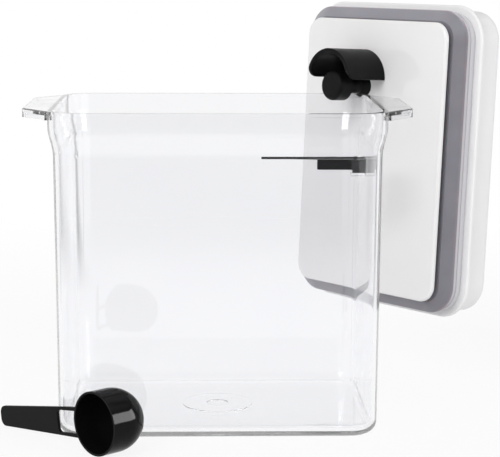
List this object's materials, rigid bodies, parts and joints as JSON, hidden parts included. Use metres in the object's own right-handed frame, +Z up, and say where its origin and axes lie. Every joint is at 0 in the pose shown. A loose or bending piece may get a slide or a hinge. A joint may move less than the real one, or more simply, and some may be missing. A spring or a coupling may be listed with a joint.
{
  "type": "milk powder container",
  "caption": "Clear rounded-rectangular milk powder container with grip tabs and leveller blade, a thick sealing lid with a scoop holder, and a round scoop.",
  "frame": {"origin": "middle of the flat underside of the clear container", "axes": "+Z up, +X along the long side towards the leveller's wall, -Y towards the front where the scoop lies"},
  "size_m": [0.2361, 0.2028, 0.1901],
  "materials": {
    "clear_plastic": "clear gloss",
    "white_gloss": "gloss",
    "white_satin": "satin",
    "grey_seal": "matt",
    "black_satin": "satin",
    "black_gloss": "gloss",
    "grey_inner": "satin",
    "steel": "bright"
  },
  "bodies": {
    "container": {"container_body": "clear_plastic", "leveller": "black_satin"},
    "lid": {"lid_frame": "white_satin", "lid_cap": "white_gloss", "seal": "grey_seal", "cap_screws": "steel", "rocker_pins": "steel"},
    "plate": {"inner_plate": "white_gloss", "lift_yoke": "grey_inner", "yoke_screw": "steel", "scoop_holder": "black_satin", "holder_screw": "steel", "button_spring": "steel"},
    "button": {"push_button": "white_gloss"},
    "rocker_left": {"rocker_left": "grey_inner"},
    "rocker_right": {"rocker_right": "grey_inner"},
    "scoop": {"scoop": "black_gloss"}
  },
  "joints": [
    {"name": "lid_lift", "type": "slide", "parent": "container", "child": "plate", "axis": [0, 0, 1], "range_m": [0, 0.16]},
    {"name": "scoop_lift", "type": "slide", "parent": "container", "child": "scoop", "axis": [0, 0, 1], "range_m": [0, 0.2]},
    {"name": "button_press", "type": "slide", "parent": "lid", "child": "button", "axis": [-0.7704, -0.6351, 0.0558], "range_m": [0, 0.006], "stiffness_N_per_m": 900, "springref_m": -0.002, "deforming": ["button_spring"]},
    {"name": "seal_squeeze", "type": "slide", "parent": "plate", "child": "lid", "axis": [-0.7704, -0.6351, 0.0558], "range_m": [0, 0.0016]},
    {"name": "rocker_left_tilt", "type": "hinge", "parent": "lid", "child": "rocker_left", "pos_m": [0.09006, 0.06417, 0.12411], "axis": [0.6361, -0.7716, 0], "range_deg": [0, 30]},
    {"name": "rocker_right_tilt", "type": "hinge", "parent": "lid", "child": "rocker_right", "pos_m": [0.0892, 0.06346, 0.10414], "axis": [-0.6361, 0.7716, 0], "range_deg": [0, 30]}
  ],
  "couplings": [
    {"joint": "seal_squeeze", "follows": "button_press", "ratio": 0.2666},
    {"joint": "rocker_left_tilt", "follows": "button_press", "rad_per_m": 87.2},
    {"joint": "rocker_right_tilt", "follows": "button_press", "rad_per_m": 87.2}
  ]
}
